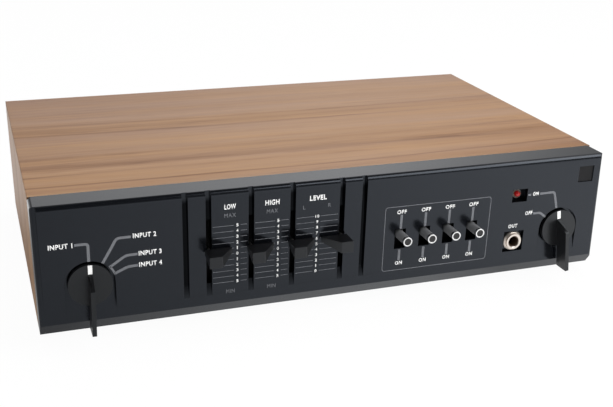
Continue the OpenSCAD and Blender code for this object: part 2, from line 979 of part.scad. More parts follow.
// A rotary switch: a round body behind the bracket, with a neck that goes through it
module rotary_switch(x) {
    translate([x, 0, bottom + knob_z])
        difference() {
            union() {
                rod(bracket_back, bracket_back + rotor_d, rotor_r);
                rod(bracket - neck_l, bracket_back + eps, neck_r);
                rod(bracket_back, bracket_back + rotor_d + rotor_tail_l, rotor_tail_r);
            }
            rod(bracket - neck_l - eps, bracket_back + rotor_d - rotor_floor, shaft_r + shaft_play);
        }
}

module source_switch() {
    color("#6b4c2c") rotary_switch(source_x);
}

module power_switch() {
    color("#3a3a3c") rotary_switch(power_x);
}

module switch_nuts() {
    color("silver")
        for (x = [source_x, power_x])
            translate([x, bracket - neck_nut_t, bottom + knob_z])
                rotate([-90, 0, 0])
                    difference() {
                        cylinder(h = neck_nut_t, r = neck_nut_r, $fn = 6);
                        translate([0, 0, -eps])
                            cylinder(h = neck_nut_t + 2 * eps, r = neck_r + seat);
                    }
}

module headphone_jack() {
    nose = jack_floor - jack_nut_t - bush_nose;
    seat_y = jack_floor + pocket_back;
    w = jack_body_w / 2;
    color("#d8d4cc")
        translate([jack_x, 0, bottom + jack_z])
            difference() {
                union() {
                    rod(nose, seat_y + eps, bush_r);
                    block([-w, seat_y, -w], [w, seat_y + jack_body_l, w]);
                }
                rod(nose - eps, nose + jack_bore_l, jack_bore_r);
                translate([0, nose, 0])
                    rotate([-90, 0, 0])
                        rotate_extrude()
                            polygon([[0, 0], [jack_bore_r + jack_mouth, 0], [0, jack_bore_r + jack_mouth]]);
            }
}

module jack_nut() {
    color("#d8d4cc")
        translate([jack_x, 0, bottom + jack_z])
            translate([0, jack_floor - jack_nut_t, 0])
                rotate([-90, 0, 0])
                    rotate_extrude()
                        polygon([
                            [bush_r + seat, 0], [jack_nut_r - nut_chamfer, 0], [jack_nut_r, nut_chamfer],
                            [jack_nut_r, jack_nut_t], [bush_r + seat, jack_nut_t]
                        ]);
}

module power_lamp() {
    flange_t = 1;
    dome_y = lamp_floor - lamp_collar_l - 0.4;
    seat_y = lamp_floor + pocket_back;
    color("#c02020")
        translate([lamp_x, 0, bottom + lamp_z]) {
            rod(dome_y, seat_y + flange_t, lamp_r);
            translate([0, dome_y, 0])
                sphere(lamp_r);
            rod(seat_y, seat_y + flange_t, lamp_r + flange_t / 2);
        }
}

module lamp_holder() {
    color("#5a5048")
        translate([lamp_x, 0, bottom + lamp_z])
            difference() {
                rod(lamp_floor - lamp_collar_l, lamp_floor, lamp_r + seat + lamp_collar_t);
                rod(lamp_floor - lamp_collar_l - eps, lamp_floor + eps, lamp_r + seat);
            }
}

// Rotary knobs: a disc with a tall blade, a hub behind it and a white pointer let into its face
module pointer_bar(grow) {
    block(
        [-pointer_w / 2 - grow, disc_face - eps, disc_r - pointer_end - pointer_l - grow],
        [pointer_w / 2 + grow, disc_face + pointer_t, disc_r - pointer_end + grow]
    );
}

module turned(x, angle) {
    translate([x, 0, bottom + knob_z])
        rotate([0, angle, 0])
            children();
}

module rotary_knob() {
    difference() {
        union() {
            rod(disc_face, disc_back, disc_r);
            rod(disc_back - eps, disc_back + hub_l, hub_r);
            along_x(-blade_t / 2, blade_t / 2)
                polygon([
                    [disc_face + blade_root, -blade_down], [disc_face + blade_root, blade_up],
                    [disc_face, blade_up], [front - blade_reach, blade_shoulder],
                    [front - blade_reach, -blade_down]
                ]);
        }
        pointer_bar(seat);
        rod(disc_back + seat, disc_back + hub_l + eps, shaft_r + seat);
    }
}

module rotary_pointer() {
    intersection() {
        pointer_bar(0);
        rod(disc_face - 0.1, disc_back, disc_r);
    }
}

module rotary_shaft() {
    rod(disc_back + 2 * seat, bracket_back + rotor_d - rotor_floor - slide_play, shaft_r);
}

module source_knob() {
    color("#202124") turned(source_x, source_set_angle) rotary_knob();
}

module source_pointer() {
    color("white") turned(source_x, source_set_angle) rotary_pointer();
}

module source_shaft() {
    color("silver") turned(source_x, source_set_angle) rotary_shaft();
}

module power_knob() {
    color("#202124") turned(power_x, power_on_angle) rotary_knob();
}

module power_pointer() {
    color("white") turned(power_x, power_on_angle) rotary_pointer();
}

module power_shaft() {
    color("silver") turned(power_x, power_on_angle) rotary_shaft();
}

// Slide controls: a wedge shaped knob with a pointed end, on a steel tang
module at_slider(i) {
    translate([slot_x[i], 0, bottom + slider_z + slider_set])
        mirror([i == 3 ? 1 : 0, 0, 0])
            children();
}

module tang_bar(grow) {
    block(
        [-tang_t / 2 - grow, front - slider_reach * 0.6 - grow, -tang_h / 2 - grow],
        [tang_t / 2 + grow, bracket_back + pot_d - pot_floor - slide_play, tang_h / 2 + grow]
    );
}

module slider_knob(i) {
    tip_t = 0.8;
    color("#1d1e21")
        at_slider(i)
            difference() {
                intersection() {
                    translate([0, 0, -knob_front_h])
                        linear_extrude(2 * knob_front_h)
                            polygon([
                                [-knob_tail, front], [knob_tip, front], [knob_tip, front - tip_t],
                                [knob_front, front - slider_reach], [-knob_tail, front - slider_reach]
                            ]);
                    along_x(-2 * knob_tip, 2 * knob_tip)
                        polygon([
                            [front, knob_rear_h / 2], [front, -knob_rear_h / 2],
                            [front - slider_reach, knob_rear_h / 2 - knob_front_h],
                            [front - slider_reach, knob_rear_h / 2]
                        ]);
                }
                tang_bar(seat);
            }
}

module slider_tang(i) {
    color("silver")
        at_slider(i)
            tang_bar(0);
}

module bass_knob() slider_knob(0);
module treble_knob() slider_knob(1);
module volume_left_knob() slider_knob(2);
module volume_right_knob() slider_knob(3);
module bass_tang() slider_tang(0);
module treble_tang() slider_tang(1);
module volume_left_tang() slider_tang(2);
module volume_right_tang() slider_tang(3);

// Slide switches: a round lever with a bright ring on its end, at rest at the top of its slot
module at_switch(i) {
    translate([switch_x[i], 0, bottom + switch_z + switch_travel / 2])
        children();
}

module switch_lever(i) {
    tip = front - lever_reach;
    step = bracket - lever_step;
    color("#1d1e21")
        at_switch(i) {
            rod(tip + ring_l, step, lever_r);
            rod(tip + nose_in, tip + ring_l + eps, lever_r - ring_t);
            block(
                [-lever_tang_w / 2, step - eps, -lever_tang_h / 2],
                [lever_tang_w / 2, bracket_back + switch_body_d - pot_floor - slide_play, lever_tang_h / 2]
            );
        }
}

module switch_ring(i) {
    tip = front - lever_reach;
    color("#e8e8e8")
        at_switch(i)
            difference() {
                rod(tip, tip + ring_l - seat, lever_r + seat);
                rod(tip - eps, tip + ring_l + eps, lever_r - ring_t + seat);
            }
}

module stereo_lever() switch_lever(0);
module loudness_lever() switch_lever(1);
module rumble_lever() switch_lever(2);
module scratch_lever() switch_lever(3);
module stereo_ring() switch_ring(0);
module loudness_ring() switch_ring(1);
module rumble_ring() switch_ring(2);
module scratch_ring() switch_ring(3);

// Transformer and smoothing capacitor
module transformer_core() {
    window_h = core_h - 2 * yoke_h;
    color("#4a4a4c")
        translate([core_x, core_y, floor_z])
            difference() {
                block([-core_w / 2, -core_t / 2, 0], [core_w / 2, core_t / 2, core_h]);
                for (side = [-1, 1])
                    translate([side * (limb_w / 2 + yoke_h / 2), 0, core_h / 2])
                        cube([yoke_h, core_t + 2 * eps, window_h], center = true);
            }
}

module transformer_coil() {
    outer_w = limb_w + 2 * yoke_h - 2 * screw_play;
    h = core_h - 2 * yoke_h - 2 * screw_play;
    color("#b06a2c")
        translate([core_x, core_y, floor_z + core_h / 2])
            difference() {
                cube([outer_w, core_t + 2 * coil_bulge, h], center = true);
                cube([limb_w + 2 * screw_play, core_t + 2 * screw_play, h + 2 * eps], center = true);
            }
}

module transformer_clamp() {
    w = core_w / 2 + seat;
    foot = w + sheet_t + clamp_foot;
    color("#b9bcbf")
        difference() {
            translate([core_x, 0, floor_z])
                along_y(core_y - clamp_w / 2, core_y + clamp_w / 2)
                    polygon([
                        [-foot, 0], [-w, 0], [-w, core_h + seat], [w, core_h + seat], [w, 0], [foot, 0],
                        [foot, sheet_t], [w + sheet_t, sheet_t], [w + sheet_t, core_h + seat + sheet_t],
                        [-w - sheet_t, core_h + seat + sheet_t], [-w - sheet_t, sheet_t], [-foot, sheet_t]
                    ]);
            at_clamp_screws()
                cylinder(h = 3 * sheet_t, r = screw_r + seat);
        }
}

module smoothing_capacitor() {
    color("#2f5f8f")
        translate([can_x, can_y, floor_z])
            cylinder(h = can_h, r = can_r);
}

module capacitor_clip() {
    color("silver")
        translate([can_x, can_y, floor_z])
            difference() {
                cylinder(h = clip_h, r = can_r + seat + clip_t);
                translate([0, 0, -eps])
                    cylinder(h = clip_h + 2 * eps, r = can_r + seat);
            }
}

// Amplifier board with its heatsink
module at_board() {
    translate([left_end + board_left, board_y, floor_z + board_z])
        children();
}

module amplifier_board() {
    color("#8a6b2f")
        at_board()
            cube([board_w, board_d, board_thick]);
}

module board_standoffs() {
    color("#e0e0d8")
        at_board()
            for (x = [standoff_in, board_w - standoff_in], y = [standoff_in, board_d - standoff_in])
                translate([x, y, -board_z])
                    cylinder(h = board_z, r = standoff_r);
}

module board_capacitors() {
    pitch = (board_w - 2 * standoff_in) / small_can_row;
    color("#3a5a8a")
        at_board()
            for (i = [0:small_can_row - 1])
                translate([standoff_in + (i + 0.5) * pitch, small_can_in, board_thick]) {
                    cylinder(h = small_can_h, r = small_can_r);
                    translate([0, small_can_pitch, 0])
                        cylinder(h = large_can_h, r = large_can_r);
                }
}

module heatsink() {
    w = board_w - 2 * sink_in;
    color("#c4c6c8")
        at_board()
            translate([sink_in, board_d - sink_in - sink_t, board_thick]) {
                cube([w, sink_t, sink_h]);
                for (i = [0:fin_count - 1])
                    translate([i * (w - fin_t) / (fin_count - 1), 0, 0])
                        cube([fin_t, sink_t + fin_l, sink_h]);
            }
}

module power_transistors() {
    pitch = (board_w - 2 * sink_in) / transistor_count;
    color("#202020")
        at_board()
            for (i = [0:transistor_count - 1])
                translate([
                    sink_in + (i + 0.5) * pitch - transistor_w / 2,
                    board_d - sink_in - sink_t - transistor_t, board_thick + transistor_z
                ])
                    cube([transistor_w, transistor_t, transistor_h]);
}

cabinet_top();
cabinet_side_left();
cabinet_side_right();
side_battens();
chassis_tray();
rear_panel();
fascia();
control_bracket();
feet();
foot_screws();
base_screws();
panel_screws();
mains_grommet();
fuse_holder();
socket_strip();
input_sockets();
speaker_sockets();
transformer_core();
transformer_coil();
transformer_clamp();
smoothing_capacitor();
capacitor_clip();
amplifier_board();
board_standoffs();
board_capacitors();
heatsink();
power_transistors();
slide_pots();
slide_switches();
source_switch();
power_switch();
switch_nuts();
headphone_jack();
jack_nut();
power_lamp();
lamp_holder();
source_knob();
source_pointer();
source_shaft();
power_knob();
power_pointer();
power_shaft();
bass_knob();
bass_tang();
treble_knob();
treble_tang();
volume_left_knob();
volume_left_tang();
volume_right_knob();
volume_right_tang();
stereo_lever();
stereo_ring();
loudness_lever();
loudness_ring();
rumble_lever();
rumble_ring();
scratch_lever();
scratch_ring();
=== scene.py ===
"""Stereo amplifier: finishes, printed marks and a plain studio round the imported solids."""

import math

import bpy
import bmesh
from mathutils import Matrix, Vector


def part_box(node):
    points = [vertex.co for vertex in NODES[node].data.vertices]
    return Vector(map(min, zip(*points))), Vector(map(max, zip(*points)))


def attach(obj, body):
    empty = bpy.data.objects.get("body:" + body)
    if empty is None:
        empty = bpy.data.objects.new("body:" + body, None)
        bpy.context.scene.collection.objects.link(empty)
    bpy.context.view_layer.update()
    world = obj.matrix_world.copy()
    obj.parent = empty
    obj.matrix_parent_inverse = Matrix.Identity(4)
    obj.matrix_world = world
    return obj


bl_info = {
    "name": "Stereo amplifier",
    "version": (1, 0, 0),
    "blender": (4, 5, 0),
    "location": "View3D > Sidebar > Amplifier",
    "description": "Finishes, printed marks and studio for a veneered stereo amplifier",
    "category": "Object",
}

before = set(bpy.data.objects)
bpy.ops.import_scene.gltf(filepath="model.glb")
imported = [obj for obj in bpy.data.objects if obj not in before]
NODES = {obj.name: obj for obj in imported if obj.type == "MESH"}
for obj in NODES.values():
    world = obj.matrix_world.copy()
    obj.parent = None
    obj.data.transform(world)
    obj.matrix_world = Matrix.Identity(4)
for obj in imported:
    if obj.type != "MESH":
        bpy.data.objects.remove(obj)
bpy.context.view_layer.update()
MM = 0.001
# Width of the picture in pixels, and of the camera's sensor in mm
PICTURE = 613
SENSOR = 36
# How far the strokes of bold letters are spread, in font sizes
BOLD = 0.030
# Straight steps in a rounded corner of a line
CORNER_STEPS = 6
# Heights of letters and widths of lines on the face, in mm
TITLE, LEGEND, NUMERAL, NOTE = 3.3, 2.6, 2.0, 2.4
LEADER, HAIRLINE = 1.6, 0.3
# Least rise of the printed face over its base, at the foot of the tiles
LAND = 0.25 * MM

# The printed face is one plane that leans over the raised tiles of the moulding
FACE_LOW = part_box("fascia")[0]
SIDE_LOW, SIDE_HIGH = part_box("cabinet_side_left")
LEFT = FACE_LOW.x
FRONT = FACE_LOW.y
BOTTOM = SIDE_LOW.z
HEIGHT = SIDE_HIGH.z - SIDE_LOW.z


class AmplifierSizes(bpy.types.PropertyGroup):
    """Sizes that a user may change"""
    tile_foot: bpy.props.FloatProperty(
        name="Tile foot", description="Height at which the face's wedge runs out",
        default=12 * MM, unit="LENGTH")
    tile_rise: bpy.props.FloatProperty(
        name="Tile rise", description="How far the top of the face stands out",
        default=3 * MM, unit="LENGTH")
    ink_lift: bpy.props.FloatProperty(
        name="Ink lift", description="Distance of the print from the face",
        default=0.03 * MM, unit="LENGTH")
    ink_thickness: bpy.props.FloatProperty(
        name="Ink thickness", description="Thickness of the printed ink",
        default=0.03 * MM, unit="LENGTH")
    edge_round: bpy.props.FloatProperty(
        name="Edge round", description="Radius on the edges of the moulded knobs",
        default=0.35 * MM, unit="LENGTH")
    jack_bore: bpy.props.FloatProperty(
        name="Jack bore", description="Radius inside which the jack's bush shows its insulation",
        default=3.65 * MM, unit="LENGTH")
    camera_place: bpy.props.FloatVectorProperty(
        name="Camera", description="Place of the camera", subtype="TRANSLATION",
        default=(-0.20112, -0.6311, 0.27992))
    camera_turn: bpy.props.FloatVectorProperty(
        name="Camera turn", description="Yaw, pitch and roll of the camera in degrees",
        default=(-20.863, -21.62, 1.647))
    focal_pixels: bpy.props.FloatProperty(
        name="Focal length", description="Focal length in pixels of a picture 613 wide", default=1004.15)
    camera_shift: bpy.props.FloatVectorProperty(
        name="Camera shift", description="Shift of the picture in widths", size=2,
        default=(-0.05856, 0.03042))


class AmplifierTones(bpy.types.PropertyGroup):
    """Colours that a user may change"""
    veneer: bpy.props.FloatVectorProperty(
        name="Veneer", description="Main tone of the veneer", subtype="COLOR",
        default=(0.374, 0.222, 0.117))
    veneer_dark: bpy.props.FloatVectorProperty(
        name="Veneer streaks", description="Tone of the dark streaks", subtype="COLOR",
        default=(0.134, 0.053, 0.021))
    moulding: bpy.props.FloatVectorProperty(
        name="Moulding", description="Black of the fascia", subtype="COLOR",
        default=(0.0030, 0.0034, 0.0046))
    knob: bpy.props.FloatVectorProperty(
        name="Knobs", description="Black of the knobs", subtype="COLOR",
        default=(0.005, 0.005, 0.0056))
    lever: bpy.props.FloatVectorProperty(
        name="Levers", description="Grey of the switch levers", subtype="COLOR",
        default=(0.135, 0.138, 0.143))
    ink_white: bpy.props.FloatVectorProperty(
        name="White ink", description="Words, numbers and pointers", subtype="COLOR",
        default=(0.93, 0.93, 0.92))
    ink_grey: bpy.props.FloatVectorProperty(
        name="Grey ink", description="Leaders, scale lines and thin words", subtype="COLOR",
        default=(0.165, 0.171, 0.186))
    lamp: bpy.props.FloatVectorProperty(
        name="Lamp", description="Red of the lamp", subtype="COLOR", default=(0.36, 0.012, 0.012))


def sizes():
    return bpy.context.scene.amplifier_sizes


def tones():
    return bpy.context.scene.amplifier_tones


class Wire:
    """A value socket in a finish: arithmetic on it adds Math nodes"""

    def __init__(self, finish, socket):
        self.finish = finish
        self.socket = socket

    def _math(self, operation, first, second=None, clamp=False):
        values = {0: first} if second is None else {0: first, 1: second}
        made = self.finish.node("ShaderNodeMath", {"operation": operation, "use_clamp": clamp}, values)
        return Wire(self.finish, made.outputs[0])

    def __add__(self, other):
        return self._math("ADD", self, other)

    def __radd__(self, other):
        return self._math("ADD", other, self)

    def __sub__(self, other):
        return self._math("SUBTRACT", self, other)

    def __rsub__(self, other):
        return self._math("SUBTRACT", other, self)

    def __mul__(self, other):
        return self._math("MULTIPLY", self, other)

    def __rmul__(self, other):
        return self._math("MULTIPLY", other, self)

    def __truediv__(self, other):
        return self._math("DIVIDE", self, other)

    def __rtruediv__(self, other):
        return self._math("DIVIDE", other, self)

    def __pow__(self, other):
        return self._math("POWER", self, other)

    def __rpow__(self, other):
        return self._math("POWER", other, self)

    def clamp(self):
        return self._math("ADD", self, 0.0, clamp=True)

    def larger(self, other):
        return self._math("MAXIMUM", self, other)

    def above(self, edge):
        return self._math("GREATER_THAN", self, edge)

    def within(self, low, high):
        """One between two values, nothing outside"""
        return self.above(low) * (1.0 - self.above(high))

    def rise(self, start, span):
        """Goes from nothing to one over a span"""
        return ((self - start) / span).clamp()

    def beyond(self, edge, gain):
        """How far the value is past an edge, from nothing to one"""
        return ((self - edge) * gain).clamp()


class Tree:
    """A tree of shader nodes in the making"""

    def __init__(self, holder):
        holder.use_nodes = True
        self.tree = holder.node_tree

    def find(self, kind):
        return next(n for n in self.tree.nodes if n.type == kind)

    def feed(self, target, value):
        """Gives a socket a constant or a link"""
        if isinstance(value, Wire):
            self.tree.links.new(value.socket, target)
        elif isinstance(value, bpy.types.NodeSocket):
            self.tree.links.new(value, target)
        else:
            count = len(target.default_value) if hasattr(target.default_value, "__len__") else 0
            if count and not hasattr(value, "__len__"):
                value = [value] * count
            elif count == 4 and len(value) == 3:
                value = [*value, 1.0]
            target.default_value = value

    def node(self, kind, settings=None, sockets=None):
        """Adds a node: its settings first, then the values or links of its sockets"""
        made = self.tree.nodes.new(kind)
        for key, value in (settings or {}).items():
            if key == "stops":
                ramp = made.color_ramp.elements
                while len(ramp) < len(value):
                    ramp.new(1.0)
                for element, (place, colour) in zip(ramp, value):
                    element.position = place
                    element.color = [*colour, 1.0] if hasattr(colour, "__len__") else [colour] * 3 + [1.0]
            else:
                setattr(made, key, value)
        for key, value in (sockets or {}).items():
            self.feed(made.inputs[key], value)
        return made

    def wire(self, kind, settings=None, sockets=None, output=0):
        return Wire(self, self.node(kind, settings, sockets).outputs[output])

    def ramp(self, value, *stops):
        return self.node("ShaderNodeValToRGB", {"stops": stops}, {0: value}).outputs[0]

    def mix(self, factor, first, second, blend="MIX"):
        made = self.node("ShaderNodeMix", {"data_type": "RGBA", "blend_type": blend},
                         {0: factor, 6: first, 7: second})
        return made.outputs[2]

    def either(self, factor, first, second):
        """One of two shaders, by a factor"""
        return self.node("ShaderNodeMixShader", None, {0: factor, 1: first, 2: second}).outputs[0]

    def part(self, vector, name):
        """One coordinate of a vector"""
        return Wire(self, self.node("ShaderNodeSeparateXYZ", None, {0: vector}).outputs[name])

    def rays(self):
        """Masks of the rays from the camera and of those that come off gloss or through glass"""
        path = self.node("ShaderNodeLightPath").outputs
        mirrored = Wire(self, path["Is Glossy Ray"]).larger(Wire(self, path["Is Transmission Ray"]))
        return Wire(self, path["Is Camera Ray"]), mirrored


class Finish(Tree):
    """A procedural material in the making"""

    def __init__(self, name, constants):
        self.material = bpy.data.materials.new(name)
        super().__init__(self.material)
        self.shader = self.find("BSDF_PRINCIPLED")
        for socket, value in constants.items():
            self.set(socket, value)

    def set(self, socket, value):
        self.feed(self.shader.inputs[socket], value)

    def place(self, scale=(1, 1, 1), offset=(0, 0, 0)):
        """Points of the surface in metres, scaled"""
        coords = self.node("ShaderNodeTexCoord").outputs["Object"]
        sockets = {"Vector": coords, "Scale": scale, "Location": offset}
        return self.node("ShaderNodeMapping", None, sockets).outputs[0]

    def axis(self, name):
        """One coordinate of the surface's points in metres"""
        return self.part(self.node("ShaderNodeTexCoord").outputs["Object"], name)

    def facing(self, name):
        """One coordinate of the direction in which the surface faces"""
        return self.part(self.node("ShaderNodeNewGeometry").outputs["Normal"], name)

    def noise(self, scale, stretch=(1, 1, 1), detail=3.0, roughness=0.5, distortion=0.0, offset=(0, 0, 0)):
        return self.wire("ShaderNodeTexNoise", None, {
            "Vector": self.place(stretch, offset), "Scale": scale, "Detail": detail,
            "Roughness": roughness, "Distortion": distortion})

    def relief(self, height, strength, distance, soften=0.0):
        """Bump from a height, over edges that catch the light as moulded ones do"""
        feed = {"Height": height, "Strength": strength, "Distance": distance}
        if soften:
            feed["Normal"] = self.node("ShaderNodeBevel", {"samples": 4}, {"Radius": soften}).outputs[0]
        self.set("Normal", self.node("ShaderNodeBump", None, feed).outputs[0])


def scaled(colour, factor, lift=0.0):
    """A colour made darker or lighter"""
    return [c * factor + lift for c in colour]


def tinted(colour, factors):
    """A colour with each of its three parts changed"""
    return [c * factor for c, factor in zip(colour, factors)]


# Streaks of the veneer: place behind the front edge at left, middle and right, and reach before and
# behind it, in mm, then the weight at left and right, below nothing for a dark streak
STREAKS = (
    (12.3, 11.7, 18.0, 2.5, 3.0, -0.36, -0.30),
    (4.0, 4.0, 6.0, 9.0, 9.0, -0.06, -0.08),
    (45.0, 42.0, 46.0, 4.5, 12.0, -0.18, -0.06),
    (30.5, 30.5, 29.0, 4.0, 4.0, -0.16, 0.0),
    (64.0, 62.5, 66.0, 8.0, 8.0, -0.14, -0.11),
    (112.5, 111.3, 115.0, 4.0, 3.0, -0.27, -0.12),
    (122.0, 122.0, 126.0, 12.0, 14.0, -0.20, -0.10),
    (134.5, 132.5, 136.0, 6.0, 3.5, -0.20, -0.18),
    (36.0, 35.5, 33.0, 6.0, 5.0, 0.14, 0.05),
    (24.0, 24.0, 24.5, 7.0, 6.0, 0.06, 0.10),
    (88.0, 86.0, 88.0, 16.0, 16.0, 0.07, 0.06),
    (145.0, 146.0, 148.0, 10.0, 12.0, 0.14, 0.12),
    (185.0, 182.0, 181.0, 20.0, 20.0, 0.0, 0.07),
    (47.0, 46.0, 48.0, 24.0, 22.0, -0.11, -0.15),
)


def veneer(name, along):
    """Straight grained veneer: broad bands and streaks that bend gently, fine lines and open pores"""
    tone = tones()
    skin = Finish(name, {"Specular IOR Level": 0.28})

    def stretch(factor):
        return [factor if axis == along else 1 for axis in "XYZ"]

    # Place across the cabinet, about 1 near its right side, and place behind the front edge in metres
    bend = skin.axis("X") / 0.15
    waver = (skin.noise(11, stretch(0.4), detail=3) - 0.5) * 0.007
    where = skin.axis("Y") - SIDE_LOW.y + waver
    slow = skin.noise(36, stretch(0.05), detail=4, roughness=0.6)
    lines = skin.noise(210, stretch(0.03), detail=5, roughness=0.66, distortion=0.2)
    dashes = skin.noise(240, stretch(0.10), detail=2, roughness=0.5, offset=(0.3, 0.1, 0.2)).beyond(0.52, 5)
    pores = skin.noise(1000, stretch(0.02), detail=3, roughness=0.6).beyond(0.62, 8)
    dark, light = 0.0, 0.0
    for left, middle, right, before, behind, weight_left, weight_right in STREAKS:
        path = (middle + bend * ((right - left) / 2) + bend * bend * ((left + right) / 2 - middle)) * MM
        away = where - path
        near = (1.0 - (away / (behind * MM)).clamp()) * (1.0 - (away / (-before * MM)).clamp())
        first, last = abs(weight_left), abs(weight_right)
        weight = (first + last) / 2 + bend * ((last - first) / 2)
        if weight_left + weight_right < 0:
            dark = near * near * weight + dark
        else:
            light = near * near * weight + light
    threads = skin.noise(560, stretch(0.045), detail=3, roughness=0.6, offset=(0.6, 0.2, 0.4))
    grain = (slow - 0.5) * 0.34 + (lines - 0.5) * 0.70 + (threads - 0.5) * 0.34
    shade = 0.74 + grain + light - dark * 1.38 - dashes * (dark * 1.1 + 0.07)
    # Darker towards the back, the left end and the right front corner
    back = (where / 0.21).clamp()
    shade = shade - (-0.35 - bend).clamp() * 0.06 - back * (0.10 + (0.5 - bend).clamp() * 0.06)
    shade = shade - (bend - 0.35).clamp() * (1.0 - where / 0.07).clamp() * 0.42
    hue = skin.noise(42, stretch(0.06), detail=4, roughness=0.6, offset=(0.2, 0.4, 0.1))
    warmth = ((hue - 0.5) * 4 + 0.5).clamp()
    cool = tinted(tone.veneer, (0.95, 0.98, 1.10))
    body = skin.mix(warmth, cool, tinted(tone.veneer, (1.07, 1.02, 0.86)))
    # Painted sheen: the wood turns paler and bluer towards the back, where the view grazes it
    body_with_painted_sheen = skin.mix(back, body, skin.mix(1.0, body, (0.97, 1.02, 1.16), "MULTIPLY"))
    wood = skin.mix(shade.clamp(), tone.veneer_dark, body_with_painted_sheen)
    skin.set("Base Color", skin.mix(pores * 0.30, wood, scaled(tone.veneer_dark, 0.55)))
    skin.set("Roughness", 0.40 + lines * 0.14 + pores * 0.1)
    skin.relief(lines * 0.4 - pores * 0.6, 0.22, 0.00010, soften=0.0005)
    return skin.material


def face_slope():
    """Rise of the leaning face for each metre of height"""
    size = sizes()
    return math.tan(math.asin(size.tile_rise / (HEIGHT - size.tile_rise - size.tile_foot)))


def grooves(skin):
    """Mask of painted shade on the moulding: the grooves between the tiles and the source recess's wall"""
    size = sizes()
    along, high = skin.axis("X") - LEFT, skin.axis("Z") - BOTTOM
    face = ((high - size.tile_foot) * face_slope()).larger(LAND)
    sunk = skin.axis("Y") - (FRONT + size.tile_rise) + face
    deep = sunk.above(0.12 * MM)
    # The grooves, and their painted shade, fade out at both ends
    ends = high.rise(13.5 * MM, 8 * MM) * (1.0 - high.rise(73 * MM, 3 * MM))
    groove = along.within(75 * MM, 205 * MM) * ends
    # Painted shade on the recess's wall, and a painted shadow on its floor along the foot of the right wall
    recess = along.within(12 * MM, 60 * MM) * high.within(12.5 * MM, 60 * MM)
    wall = skin.facing("Y").above(-0.5)
    foot = along.rise(41.7 * MM, 0.9 * MM) * high.rise(14 * MM, 6 * MM) * (1.0 - high.above(36 * MM))
    return deep * (groove + wall.larger(foot) * recess)


def moulded(name, colour, roughness, soften, grain=1.0, sheen=0.5, cast=(1, 1, 1), front=None, painted_shade=None):
    """Satin moulding: eased edges, fine sparks, faint wear, and maybe another front tone or parts masked
    with painted shade
    """
    skin = Finish(name, {"Specular IOR Level": sheen, "Specular Tint": cast})
    spark = skin.noise(5200, detail=2, roughness=0.7)
    cloud = skin.noise(22, detail=4, roughness=0.6)
    wear = skin.noise(160, detail=5, roughness=0.7).beyond(0.63, 7)
    tone = skin.mix(cloud * 0.55, scaled(colour, 0.86), scaled(colour, 1.25, 0.001))
    if front:
        tone = skin.mix((skin.facing("Y") * -1.0).above(0.9), tone, front)
    if painted_shade:
        # Painted shade: a black metal mirrors nothing head on, so the masked parts turn black and lose most
        # of the plastic's sheen
        dull = painted_shade(skin)
        tone = skin.mix(dull, tone, (0, 0, 0))
        skin.set("Metallic", dull * 0.82)
    skin.set("Base Color", tone)
    skin.set("Roughness", roughness - 0.04 + cloud * 0.07 + spark * 0.05 + wear * 0.05)
    skin.relief(spark * grain + cloud * 0.15, 0.16, 0.00004, soften=soften)
    return skin.material


def ink(name, colour, patchy):
    """Screen printed ink, a little uneven"""
    skin = Finish(name, {"Specular IOR Level": 0.3})
    cover = skin.noise(2600, detail=3, roughness=0.6)
    skin.set("Base Color", skin.mix(cover * patchy, colour, scaled(colour, 0.72)))
    skin.set("Roughness", 0.5 + cover * 0.16)
    return skin.material


def plated(name, colour, roughness, brushed=(1, 1, 1), tint=0.86):
    """Plated metal with fine rubbing marks and a slight cloud in its shine"""
    skin = Finish(name, {"Metallic": 1.0})
    rub = skin.noise(1500, brushed, detail=4, roughness=0.65)
    cloud = skin.noise(70, detail=3)
    skin.set("Base Color", skin.mix(cloud, scaled(colour, tint), colour))
    skin.set("Roughness", roughness + (rub - 0.5) * 0.22 + cloud * 0.06)
    skin.relief(rub, 0.12, 0.00003, soften=0.00015)
    return skin.material


def bushing(name, colour, roughness):
    """Nickel bush whose bore shows the brown insulation of the contacts inside, spread over the metal mouth
    as painted shade
    """
    skin = Finish(name, {})
    low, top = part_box("jack_nut")
    middle_x, middle_z = (low.x + top.x) / 2, (low.z + top.z) / 2
    wide, high = skin.axis("X") - middle_x, skin.axis("Z") - middle_z
    # The brown reaches past the bore onto the metal mouth: painted shade that hides the mouth's bright rim
    metal = ((wide * wide + high * high) ** 0.5).above(sizes().jack_bore)
    rub = skin.noise(1500, detail=4, roughness=0.65)
    insulation = skin.mix(rub, (0.035, 0.02, 0.012), (0.075, 0.045, 0.028))
    skin.set("Base Color", skin.mix(metal, insulation, colour))
    skin.set("Metallic", metal)
    skin.set("Roughness", roughness + (rub - 0.5) * 0.2)
    skin.relief(rub, 0.12, 0.00003, soften=0.00015)
    return skin.material


def rubber(name):
    """Black rubber with a little dust"""
    skin = Finish(name, {"Specular IOR Level": 0.32})
    grain = skin.noise(1800, detail=4, roughness=0.7)
    dust = skin.noise(120, detail=4).beyond(0.5, 3)
    skin.set("Base Color", skin.mix(dust * 0.3, (0.016, 0.016, 0.016), (0.06, 0.058, 0.055)))
    skin.set("Roughness", 0.68 + grain * 0.2)
    skin.relief(grain, 0.3, 0.00008, soften=0.0004)
    return skin.material


def painted(name, colour):
    """Baked paint on sheet: fine orange peel and thin scuffs"""
    skin = Finish(name, {"Specular IOR Level": 0.45})
    peel = skin.noise(1100, detail=2)
    cloud = skin.noise(30, detail=4, roughness=0.6)
    scuff = skin.noise(420, (1, 1, 0.06), detail=4, roughness=0.7).beyond(0.66, 9)
    paint = skin.mix(cloud, scaled(colour, 0.85), colour)
    skin.set("Base Color", skin.mix(scuff * 0.4, paint, scaled(colour, 1.7, 0.02)))
    skin.set("Roughness", 0.46 + peel * 0.1 + scuff * 0.12)
    skin.relief(peel, 0.2, 0.00005, soften=0.0002)
    return skin.material


